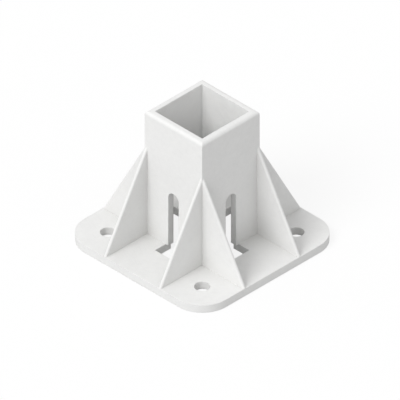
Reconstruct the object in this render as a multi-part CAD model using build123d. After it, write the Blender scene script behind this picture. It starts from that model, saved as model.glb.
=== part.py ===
"""Mounting foot: a square socket for a post on a drilled base plate, moulded in one piece.

Millimetres. The origin is the centre of the plate's underside, and +Z points up the socket.
"""

import os
from math import atan2, degrees, hypot

from build123d import *

# Socket
bore_width = 45.0  # across the square bore, which goes on through the plate
socket_wall = 5.0
socket_height = 100.0  # rim above the top of the plate
rim_round = 2.5  # along the four outer edges of the rim, mitred where they meet

# Base plate
plate_width = 135.0
plate_thickness = 6.0

# Bolts: clearance for M10
bolt_spacing = 90.0
bolt_hole = 11.0

# Gussets: two on each wall, flush with the corners of the socket
gusset_thickness = 2.5
gusset_rise = 71.0  # the crest meets the wall this high above the plate
gusset_setback = 0.1  # the crest meets the plate this far inside its edge

# Slots: one up the middle of each wall, from the plate
slot_width = 10.0
slot_top = 45.0  # highest point of the round end above the plate

# Windows: cut through the plate in front of each slot
window_width = 15.0
window_reach = 10.0  # beyond the outside of the socket

# What follows from the sizes above
socket_width = bore_width + 2 * socket_wall
plate_corner = (plate_width - bolt_spacing) / 2  # round the bolt holes
rim_height = plate_thickness + socket_height
gusset_run = (plate_width - socket_width) / 2 - gusset_setback
nose_radius = gusset_thickness / 2  # the sloped edge is a full round
slot_radius = slot_width / 2


def base_plate():
    """The square plate with its rounded corners."""
    outline = RectangleRounded(plate_width, plate_width, plate_corner)
    return extrude(outline, plate_thickness)


def socket_block():
    """The outside of the socket, down to the underside, with the rim rounded."""
    block = extrude(Rectangle(socket_width, socket_width), rim_height)
    rim_edges = block.faces().sort_by(Axis.Z)[-1].edges()
    return fillet(rim_edges, min(rim_round, 0.9 * socket_wall))


def gusset():
    """One triangular web on the +X wall, centred on y = 0, with a full round along its slope.

    The round's axis lies a nose radius below the crest. The web fills the space under the axis,
    and both run on into the wall and the plate, where a box trims them.
    """
    slope_length = hypot(gusset_run, gusset_rise)
    foot_x = socket_width / 2 + gusset_run
    along_x = -gusset_run / slope_length
    along_z = gusset_rise / slope_length
    axis_x = foot_x - nose_radius * along_z
    axis_z = plate_thickness + nose_radius * along_x

    run_on = socket_wall + plate_thickness
    low = (axis_x - run_on * along_x, axis_z - run_on * along_z)
    reach = slope_length + run_on
    high = (axis_x + reach * along_x, axis_z + reach * along_z)

    side = Polygon(low, high, (high[0], low[1]), align=None)
    web = extrude(Plane.XZ * side, nose_radius, both=True)
    tilt = degrees(atan2(along_x, along_z))
    nose = Pos(low[0], 0, low[1]) * Rot(0, tilt, 0) * Cylinder(
        nose_radius, reach + run_on, align=(Align.CENTER, Align.CENTER, Align.MIN)
    )

    inner_x = socket_width / 2 - socket_wall / 2
    trim = Pos(inner_x, 0, plate_thickness / 2) * Box(
        plate_width / 2 - inner_x,
        2 * gusset_thickness,
        rim_height,
        align=(Align.MIN, Align.CENTER, Align.MIN),
    )
    return (web + nose) & trim


def gussets():
    """All the gussets: a pair on each of the four walls."""
    one = gusset()
    side_y = (socket_width - gusset_thickness) / 2
    pair = [Pos(0, side_y, 0) * one, Pos(0, -side_y, 0) * one]
    return [Rot(0, 0, 90 * quarter) * rib for quarter in range(4) for rib in pair]


def bore():
    """The square hole for the post, through the rim and the plate."""
    return Pos(0, 0, rim_height / 2) * Box(bore_width, bore_width, 2 * rim_height)


def slots():
    """A round-topped slot through each wall, standing on the top of the plate."""
    stem_height = slot_top - slot_radius
    stem = Pos(0, stem_height / 2) * Rectangle(slot_width, stem_height)
    end = Pos(0, stem_height) * Circle(slot_radius)
    reach = socket_width / 2 + socket_wall
    across = extrude(Plane.XZ * (stem + end), reach, both=True)
    across = Pos(0, 0, plate_thickness) * across
    return across + Rot(0, 0, 90) * across


def windows():
    """The cut-outs: two bars crossing under the socket, up to the top of the plate.

    They pass under the walls into the bore, and leave the walls above the plate whole.
    """
    length = socket_width + 2 * window_reach
    bar = Box(length, window_width, 2 * plate_thickness)
    return bar + Rot(0, 0, 90) * bar


def bolt_holes():
    """The four clearance holes in the plate."""
    places = GridLocations(bolt_spacing, bolt_spacing, 2, 2)
    return [place * Cylinder(bolt_hole / 2, 3 * plate_thickness) for place in places]


def mounting_foot():
    """The whole foot as one solid."""
    body = base_plate() + socket_block() + gussets()
    body -= bore()
    body -= slots()
    body -= windows()
    body -= bolt_holes()
    return body


os.makedirs("parts", exist_ok=True)
foot = mounting_foot()
foot.label = "mounting_foot"
export_step(foot, "parts/mounting_foot.step")
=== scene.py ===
"""Mounting foot for a square post: its moulded plastic, a pale floor, soft studio light and the camera.

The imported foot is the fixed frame. Metres, with the origin at the centre of the plate's underside and
+Z up the socket. The file is laid out as an add-on, with one operator a piece, and is run as a script.
"""

import math

import bpy
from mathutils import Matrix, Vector

bl_info = {
    "name": "Mounting foot",
    "version": (1, 0, 0),
    "blender": (4, 5, 0),
    "location": "View3D > Sidebar > Mounting foot",
    "description": "Finishes the moulded foot for a square post and sets its stage",
    "category": "Object",
}

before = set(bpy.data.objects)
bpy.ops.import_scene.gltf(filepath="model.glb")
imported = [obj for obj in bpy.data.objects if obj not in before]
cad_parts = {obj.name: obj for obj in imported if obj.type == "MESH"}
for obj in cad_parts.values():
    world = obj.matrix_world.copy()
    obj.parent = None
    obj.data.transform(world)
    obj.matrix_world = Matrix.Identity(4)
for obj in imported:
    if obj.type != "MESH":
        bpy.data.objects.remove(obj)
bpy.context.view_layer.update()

FOOT = "mounting_foot"
MM = 0.001

# Framing, in pixels of the picture
PICTURE_WIDTH = 400.0
PIXELS_PER_MM = 1.478
RIGHT_OF_CENTRE = 2.2  # the underside's centre from the picture's centre
BELOW_CENTRE = 39.3

# Reach of the camera, in metres
CLIP_START = 0.01
CLIP_END = 10.0

# Floor
FLOOR_DROP = 0.05 * MM  # keeps the floor just clear of the underside
FLOOR_PAINT = 0.96  # as the camera sees it, where it is lit

# Sizes of the patterns in the plastic
DRIFT_SIZE = 45.0 * MM
MOTTLE_SIZE = 4.0 * MM
SPECK_SIZE = 0.8 * MM
WAVE_SIZE = 18.0 * MM
WAVE_DEPTH = 0.25 * MM

# Distances from the socket's axis, square to its walls
SOCKET_HALF = 27.5 * MM  # the outside of the walls
SHADE_BOUNDS = (SOCKET_HALF - 0.5 * MM, SOCKET_HALF - 0.1 * MM)  # painted shade in the inner corners lies only beyond these

# Scratches in three directions: turns in degrees, length and width
RISING = ((38.0, 24.0, 0.0), 11.0 * MM, 0.3 * MM)
FALLING = ((-52.0, 31.0, 0.0), 7.0 * MM, 0.35 * MM)
STEEP = ((30.0, 60.0, 0.0), 9.0 * MM, 0.25 * MM)
SCRATCH_PEAKS = (0.71, 0.78)  # the noise draws a scratch only where it rises past these

# Where each trace sets in and where it is full, in the pattern that places it
RISING_PATCHES = (0.5, 0.58)
FALLING_PATCHES = (0.42, 0.5)  # the other way round: full at the first, gone at the second
STEEP_PATCHES = (0.52, 0.6)
# Painted shade in the inner corners: where it sets in and where it is full
SHADE_CORNERS = (0.1, 0.95)
WORN_CORNERS = (0.05, 0.45)
WORN_PATCHES = (0.2, 0.65)

# Tones of the plastic, as shares of its colour, and how far the traces reach theirs
DEEP_TONE = 0.93
PALE_TONE = 1.03
POLISHED_TONE = 1.05
SCRATCHED_TONE = 0.88
# Grey of the painted shade in the inner corners
SHADE_TONE = (0.6, 0.595, 0.58)
POLISH_SHARE = 0.7
SCRATCH_SHARE = 0.4

# Gloss of the plastic, and the rays that find its corners and round its edges
PLASTIC_IOR = 1.49
CORNER_SAMPLES = 6
ROUND_SAMPLES = 4


class Wire:
    """An output socket in a node tree. Arithmetic on wires and numbers adds Math nodes."""

    def __init__(self, tree, socket):
        self.tree = tree
        self.socket = socket

    def math(self, operation, *values):
        """A Math node of that operation on these wires and numbers, in order."""
        node = self.tree.nodes.new("ShaderNodeMath")
        node.operation = operation
        for socket, value in zip(node.inputs, values):
            feed(self.tree, socket, value)
        return Wire(self.tree, node.outputs[0])

    def __add__(self, other):
        return self.math("ADD", self, other)

    def __radd__(self, other):
        return self.math("ADD", other, self)

    def __sub__(self, other):
        return self.math("SUBTRACT", self, other)

    def __rsub__(self, other):
        return self.math("SUBTRACT", other, self)

    def __mul__(self, other):
        return self.math("MULTIPLY", self, other)

    def __rmul__(self, other):
        return self.math("MULTIPLY", other, self)

    def clamped(self):
        """The value held between 0 and 1."""
        return self.math("MINIMUM", self.math("MAXIMUM", self, 0.0), 1.0)

    def between(self, low, high):
        """0 where the value is at low and 1 where it is at high, with a smooth rise between."""
        return add_node(
            self.tree,
            "ShaderNodeMapRange",
            {"interpolation_type": "SMOOTHSTEP"},
            Value=self,
            From_Min=low,
            From_Max=high,
        )


def feed(tree, socket, value):
    """Links a wire to the socket, or sets a plain value on it."""
    if isinstance(value, Wire):
        tree.links.new(value.socket, socket)
    else:
        socket.default_value = value


def add_node(tree, kind, settings=None, output=0, **values):
    """Adds a node, sets its settings first and then its sockets, and returns one output as a wire.

    A socket's name is written with underscores for its spaces.
    """
    node = tree.nodes.new(kind)
    for name, value in (settings or {}).items():
        setattr(node, name, value)
    for name, value in values.items():
        feed(tree, node.inputs[name.replace("_", " ")], value)
    return Wire(tree, node.outputs[output])


def mix_colour(tree, share, first, second):
    """The first colour where the share is 0 and the second where it is 1."""
    node = tree.nodes.new("ShaderNodeMix")
    node.data_type = "RGBA"
    ends = [socket for socket in node.inputs if socket.type == "RGBA"]
    feed(tree, node.inputs["Factor"], share)
    feed(tree, ends[0], first)
    feed(tree, ends[1], second)
    shown = [socket for socket in node.outputs if socket.type == "RGBA"]
    return Wire(tree, shown[0])


def mix_shader(tree, share, first, second):
    """The first shader where the share is 0 and the second where it is 1."""
    node = tree.nodes.new("ShaderNodeMixShader")
    feed(tree, node.inputs[0], share)
    feed(tree, node.inputs[1], first)
    feed(tree, node.inputs[2], second)
    return Wire(tree, node.outputs[0])


def empty_material(name):
    """A new material with nothing but its output node. Returns it, its tree and the output."""
    material = bpy.data.materials.new(name)
    material.use_nodes = True
    tree = material.node_tree
    tree.nodes.clear()
    output = tree.nodes.new("ShaderNodeOutputMaterial")
    return material, tree, output


def tinted(colour, share):
    """The colour times a share, a number or one a channel, with its alpha."""
    shares = share if isinstance(share, tuple) else (share, share, share)
    return (*(channel * part for channel, part in zip(colour, shares)), 1.0)


def noise(tree, place, size, detail=2.0, rough=0.5):
    """Noise with features of that size in metres, about 0.5 on average."""
    return add_node(
        tree,
        "ShaderNodeTexNoise",
        Vector=place,
        Scale=1.0 / size,
        Detail=detail,
        Roughness=rough,
    )


def corner_share(tree, reach, inside):
    """1 deep in a corner and 0 out of its reach.

    Without inside it finds the inner corners, and with it, from within the solid, the outer ones.
    """
    open_share = add_node(
        tree,
        "ShaderNodeAmbientOcclusion",
        {"samples": CORNER_SAMPLES, "only_local": True, "inside": inside},
        output="AO",
        Distance=reach,
    )
    return 1.0 - open_share


def bump(tree, height, depth, normal):
    """The normal tilted by a relief of that depth, for a height from 0 to 1."""
    return add_node(
        tree,
        "ShaderNodeBump",
        Strength=1.0,
        Distance=depth,
        Height=height,
        Normal=normal,
    )


def off_axis(tree, place):
    """How far a place lies from the socket's axis, measured square to the walls."""
    along_x = add_node(tree, "ShaderNodeSeparateXYZ", output="X", Vector=place)
    along_y = add_node(tree, "ShaderNodeSeparateXYZ", output="Y", Vector=place)
    far_x = along_x.math("ABSOLUTE", along_x)
    far_y = along_y.math("ABSOLUTE", along_y)
    return far_x.math("MAXIMUM", far_x, far_y)


def hairlines(tree, place, turn, length, width):
    """Sparse thin scratches: noise in thin sheets, so that every face cuts them in fine lines.

    The sheets are as long as length and as thick as width, and lie square to the turned Z.
    """
    stretched = add_node(
        tree,
        "ShaderNodeMapping",
        {"vector_type": "TEXTURE"},
        Vector=place,
        Rotation=tuple(math.radians(angle) for angle in turn),
        Scale=(length, length, width),
    )
    streaks = add_node(
        tree, "ShaderNodeTexNoise", Vector=stretched, Scale=1.0, Detail=0.0
    )
    return streaks.between(*SCRATCH_PEAKS)


def moulded_plastic(settings):
    """Pale moulded plastic with small rounded edges, a fine matt grain and the traces of handling.

    The mould leaves the grain, a faint waviness and slow drifts of tone. Use polishes the edges and
    corners and draws thin scratches. The inner corners get painted shade, a darker grey tone, but
    not the socket and the slots.
    """
    material, tree, output = empty_material("foot_plastic")
    place = add_node(tree, "ShaderNodeTexCoord", output="Object")

    drift = noise(tree, place, DRIFT_SIZE, detail=3.0)
    mottle = noise(tree, place, MOTTLE_SIZE, detail=3.0, rough=0.55)
    speck = noise(tree, place, SPECK_SIZE, detail=2.0, rough=0.6)
    grain = noise(tree, place, settings.grain_size, detail=2.0, rough=0.55)
    wave = noise(tree, place, WAVE_SIZE, detail=1.0, rough=0.4)

    inner = corner_share(tree, settings.shade_reach, inside=False)
    outer = corner_share(tree, settings.edge_wear, inside=True)
    outside = off_axis(tree, place).between(*SHADE_BOUNDS)
    # Painted shade: darker deep in the inner corners, and only outside the socket's walls
    corner_shade = inner.between(*SHADE_CORNERS) * (0.5 + mottle) * outside
    worn = outer.between(*WORN_CORNERS) * mottle.between(*WORN_PATCHES)

    scratch = (
        hairlines(tree, place, *RISING) * drift.between(*RISING_PATCHES)
        + hairlines(tree, place, *FALLING) * (1.0 - drift.between(*FALLING_PATCHES))
        + hairlines(tree, place, *STEEP) * wave.between(*STEEP_PATCHES)
    ).clamped()

    # Colours, one over the other: moulded tone, polished edges, scratches, painted shade in the inner
    # corners
    plastic = settings.plastic_colour
    tone = (drift + (mottle - 0.5) * 0.8 + (speck - 0.5) * 0.6).clamped()
    moulded = mix_colour(tree, tone, tinted(plastic, DEEP_TONE), tinted(plastic, PALE_TONE))
    polished = mix_colour(tree, worn * POLISH_SHARE, moulded, tinted(plastic, POLISHED_TONE))
    drawn = mix_colour(tree, scratch * SCRATCH_SHARE, polished, tinted(plastic, SCRATCHED_TONE))
    # How far the colour is darkened towards the painted shade tone
    shade_share = (corner_shade * settings.corner_shade).clamped()
    shaded = mix_colour(tree, shade_share, drawn, tinted(plastic, SHADE_TONE))

    # Relief over the small rounds: slow waves, then the grain with the scratches cut in
    small_round = add_node(
        tree, "ShaderNodeBevel", {"samples": ROUND_SAMPLES}, Radius=settings.edge_radius
    )
    waviness = bump(tree, wave, WAVE_DEPTH, small_round)
    relief = grain + speck * 0.5 - scratch * 0.6
    normal = bump(tree, relief, settings.grain_depth, waviness)

    # Uneven roughness, smoother where worn or scratched and duller in the corners with painted shade
    roughness = (
        settings.roughness
        + (mottle - 0.5) * 0.14
        + (drift - 0.5) * 0.1
        - worn * 0.12
        - scratch * 0.08
        + corner_shade * 0.15
    ).clamped()

    surface = add_node(
        tree,
        "ShaderNodeBsdfPrincipled",
        Base_Color=shaded,
        Roughness=roughness,
        Normal=normal,
        IOR=PLASTIC_IOR,
    )
    tree.links.new(surface.socket, output.inputs["Surface"])
    return material


class FootFinishSettings(bpy.types.PropertyGroup):
    """Colour, grain and wear of the foot's plastic, and the shade painted into its inner corners."""

    plastic_colour: bpy.props.FloatVectorProperty(
        name="Plastic colour",
        description="Colour of the moulded plastic",
        subtype="COLOR",
        size=3,
        min=0.0,
        max=1.0,
        default=(0.84, 0.84, 0.832),
    )
    roughness: bpy.props.FloatProperty(
        name="Roughness",
        description="How matt the moulded skin is",
        min=0.0,
        max=1.0,
        default=0.52,
    )
    grain_size: bpy.props.FloatProperty(
        name="Grain size",
        description="Spacing of the fine grain that the mould leaves",
        unit="LENGTH",
        default=0.4 * MM,
    )
    grain_depth: bpy.props.FloatProperty(
        name="Grain depth",
        description="Depth of that grain",
        unit="LENGTH",
        default=0.045 * MM,
    )
    edge_radius: bpy.props.FloatProperty(
        name="Edge radius",
        description="Small round that the mould leaves along every edge",
        unit="LENGTH",
        default=0.6 * MM,
    )
    edge_wear: bpy.props.FloatProperty(
        name="Edge wear",
        description="How far the polish of use reaches in from an outer edge",
        unit="LENGTH",
        default=0.9 * MM,
    )
    # Reach of the painted shade out from an inner corner
    shade_reach: bpy.props.FloatProperty(
        name="Shade reach",
        description="How far dust reaches out from an inner corner",
        unit="LENGTH",
        default=22.0 * MM,
    )
    # Strength of the painted shade in the inner corners
    corner_shade: bpy.props.FloatProperty(
        name="Corner shade",
        description="How much dust lies in the inner corners",
        min=0.0,
        max=1.0,
        default=0.5,
    )


class FootStageSettings(bpy.types.PropertyGroup):
    """Floor, light and camera."""

    floor_size: bpy.props.FloatProperty(
        name="Floor size",
        description="Width of the square floor",
        unit="LENGTH",
        default=6.0,
    )
    floor_light: bpy.props.FloatProperty(
        name="Floor light",
        description="Share of the light that the floor throws back on the foot",
        min=0.0,
        max=1.0,
        default=0.55,
    )
    floor_white: bpy.props.FloatProperty(
        name="Floor white",
        description="How far the floor is shown as plain white, and not as it is lit",
        min=0.0,
        max=1.0,
        default=0.82,
    )
    sky_strength: bpy.props.FloatProperty(
        name="Sky strength",
        description="Even light from all round",
        default=0.69,
    )
    key_strength: bpy.props.FloatProperty(
        name="Key strength",
        description="Soft lamp from the left front",
        default=1.6,
    )
    key_elevation: bpy.props.FloatProperty(
        name="Key elevation",
        description="Height of that lamp above the floor",
        subtype="ANGLE",
        default=math.radians(42.0),
    )
    key_softness: bpy.props.FloatProperty(
        name="Key softness",
        description="Apparent width of that lamp, as an angle",
        subtype="ANGLE",
        default=math.radians(32.0),
    )
    camera_azimuth: bpy.props.FloatProperty(
        name="Camera azimuth",
        description="Turn of the camera round the foot, from the front towards +X",
        subtype="ANGLE",
        default=math.radians(45.0),
    )
    camera_elevation: bpy.props.FloatProperty(
        name="Camera elevation",
        description="Height of the camera above the horizon, for an isometric view",
        subtype="ANGLE",
        default=math.asin(1.0 / math.sqrt(3.0)),
    )
    view_width: bpy.props.FloatProperty(
        name="View width",
        description="Width that the picture takes in",
        unit="LENGTH",
        default=PICTURE_WIDTH / PIXELS_PER_MM * MM,
    )
    foot_right: bpy.props.FloatProperty(
        name="Foot right",
        description="How far the underside's centre stands right of the picture's centre",
        unit="LENGTH",
        default=RIGHT_OF_CENTRE / PIXELS_PER_MM * MM,
    )
    foot_below: bpy.props.FloatProperty(
        name="Foot below",
        description="How far the underside's centre stands below the picture's centre",
        unit="LENGTH",
        default=BELOW_CENTRE / PIXELS_PER_MM * MM,
    )


class OBJECT_OT_mounting_foot_finish(bpy.types.Operator):
    """Give the foot its moulded plastic"""

    bl_idname = "object.mounting_foot_finish"
    bl_label = "Finish foot"

    def execute(self, context):
        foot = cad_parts[FOOT]
        material = moulded_plastic(context.scene.foot_finish)
        for slot in foot.material_slots:
            slot.material = material
        return {"FINISHED"}


def seen_share(tree):
    """1 on rays that show the background, from the camera, gloss or glass, and 0 on light."""
    camera = add_node(tree, "ShaderNodeLightPath", output="Is Camera Ray")
    gloss = add_node(tree, "ShaderNodeLightPath", output="Is Glossy Ray")
    glass = add_node(tree, "ShaderNodeLightPath", output="Is Transmission Ray")
    return (camera + gloss + glass).clamped()


def floor_paint(light_share, white_share):
    """White to the camera, with the foot's soft shadow on it, and a plain pale grey to the light."""
    material, tree, output = empty_material("floor_paint")
    seen = seen_share(tree)
    grey = (light_share, light_share, light_share, 1.0)
    pale = (FLOOR_PAINT, FLOOR_PAINT, FLOOR_PAINT, 1.0)
    paint = mix_colour(tree, seen, grey, pale)
    lit = add_node(tree, "ShaderNodeBsdfDiffuse", Color=paint)
    bright = add_node(
        tree, "ShaderNodeEmission", Color=(1.0, 1.0, 1.0, 1.0), Strength=1.0
    )
    shown = mix_shader(tree, seen * white_share, lit, bright)
    tree.links.new(shown.socket, output.inputs["Surface"])
    return material


def white_sky(strength):
    """A world of even white light that shows as a white background."""
    world = bpy.data.worlds.new("studio")
    world.use_nodes = True
    tree = world.node_tree
    tree.nodes.clear()
    output = tree.nodes.new("ShaderNodeOutputWorld")
    plain = (1.0, 1.0, 1.0, 1.0)
    light = add_node(tree, "ShaderNodeBackground", Color=plain, Strength=strength)
    white = add_node(tree, "ShaderNodeBackground", Color=plain, Strength=1.0)
    shown = mix_shader(tree, seen_share(tree), light, white)
    tree.links.new(shown.socket, output.inputs["Surface"])
    return world


def floor_plane(size, height):
    """A square of that size at that height, facing up."""
    half = size / 2
    corners = [
        (-half, -half, height),
        (half, -half, height),
        (half, half, height),
        (-half, half, height),
    ]
    mesh = bpy.data.meshes.new("floor")
    mesh.from_pydata(corners, [], [(0, 1, 2, 3)])
    return bpy.data.objects.new("floor", mesh)


def direction(azimuth, elevation):
    """The unit vector to a place at that turn from -Y towards +X and that height above the horizon."""
    return Vector(
        (
            math.sin(azimuth) * math.cos(elevation),
            -math.cos(azimuth) * math.cos(elevation),
            math.sin(elevation),
        )
    )


def key_lamp(strength, elevation, softness):
    """A wide sun lamp from -Y."""
    light = bpy.data.lights.new("key", "SUN")
    light.energy = strength
    light.angle = softness
    lamp = bpy.data.objects.new("key", light)
    lamp.rotation_mode = "QUATERNION"
    lamp.rotation_quaternion = direction(0.0, elevation).to_track_quat("Z", "Y")
    return lamp


def isometric_camera(settings):
    """A camera without perspective, aimed so that the foot stands where the settings say."""
    back = direction(settings.camera_azimuth, settings.camera_elevation)
    lens = bpy.data.cameras.new("camera")
    lens.type = "ORTHO"
    lens.ortho_scale = settings.view_width
    lens.clip_start = CLIP_START
    lens.clip_end = CLIP_END
    camera = bpy.data.objects.new("camera", lens)
    camera.rotation_mode = "QUATERNION"
    camera.rotation_quaternion = back.to_track_quat("Z", "Y")
    right = camera.rotation_quaternion @ Vector((1.0, 0.0, 0.0))
    up = camera.rotation_quaternion @ Vector((0.0, 1.0, 0.0))
    aim = up * settings.foot_below - right * settings.foot_right
    camera.location = aim + back
    return camera


class SCENE_OT_mounting_foot_stage(bpy.types.Operator):
    """Make the pale floor, the soft light and the camera"""

    bl_idname = "scene.mounting_foot_stage"
    bl_label = "Set stage"

    def execute(self, context):
        scene = context.scene
        settings = scene.foot_stage
        scene.view_settings.view_transform = "Standard"
        scene.world = white_sky(settings.sky_strength)

        floor = floor_plane(settings.floor_size, -FLOOR_DROP)
        floor.data.materials.append(floor_paint(settings.floor_light, settings.floor_white))
        scene.collection.objects.link(floor)

        lamp = key_lamp(
            settings.key_strength, settings.key_elevation, settings.key_softness
        )
        scene.collection.objects.link(lamp)

        camera = isometric_camera(settings)
        scene.collection.objects.link(camera)
        scene.camera = camera
        return {"FINISHED"}


class VIEW3D_PT_mounting_foot(bpy.types.Panel):
    """The foot's settings and steps in the 3D view's sidebar"""

    bl_idname = "VIEW3D_PT_mounting_foot"
    bl_label = "Mounting foot"
    bl_space_type = "VIEW_3D"
    bl_region_type = "UI"
    bl_category = "Mounting foot"

    def draw(self, context):
        layout = self.layout
        for name in ("foot_finish", "foot_stage"):
            group = getattr(context.scene, name)
            for setting in group.bl_rna.properties.keys():
                if setting not in ("rna_type", "name"):
                    layout.prop(group, setting)
        layout.operator(OBJECT_OT_mounting_foot_finish.bl_idname)
        layout.operator(SCENE_OT_mounting_foot_stage.bl_idname)


CLASSES = (
    FootFinishSettings,
    FootStageSettings,
    OBJECT_OT_mounting_foot_finish,
    SCENE_OT_mounting_foot_stage,
    VIEW3D_PT_mounting_foot,
)


def register():
    for cls in CLASSES:
        bpy.utils.register_class(cls)
    bpy.types.Scene.foot_finish = bpy.props.PointerProperty(type=FootFinishSettings)
    bpy.types.Scene.foot_stage = bpy.props.PointerProperty(type=FootStageSettings)


def unregister():
    del bpy.types.Scene.foot_stage
    del bpy.types.Scene.foot_finish
    for cls in reversed(CLASSES):
        bpy.utils.unregister_class(cls)


def main():
    register()
    bpy.ops.object.mounting_foot_finish()
    bpy.ops.scene.mounting_foot_stage()


if __name__ == "__main__":
    main()
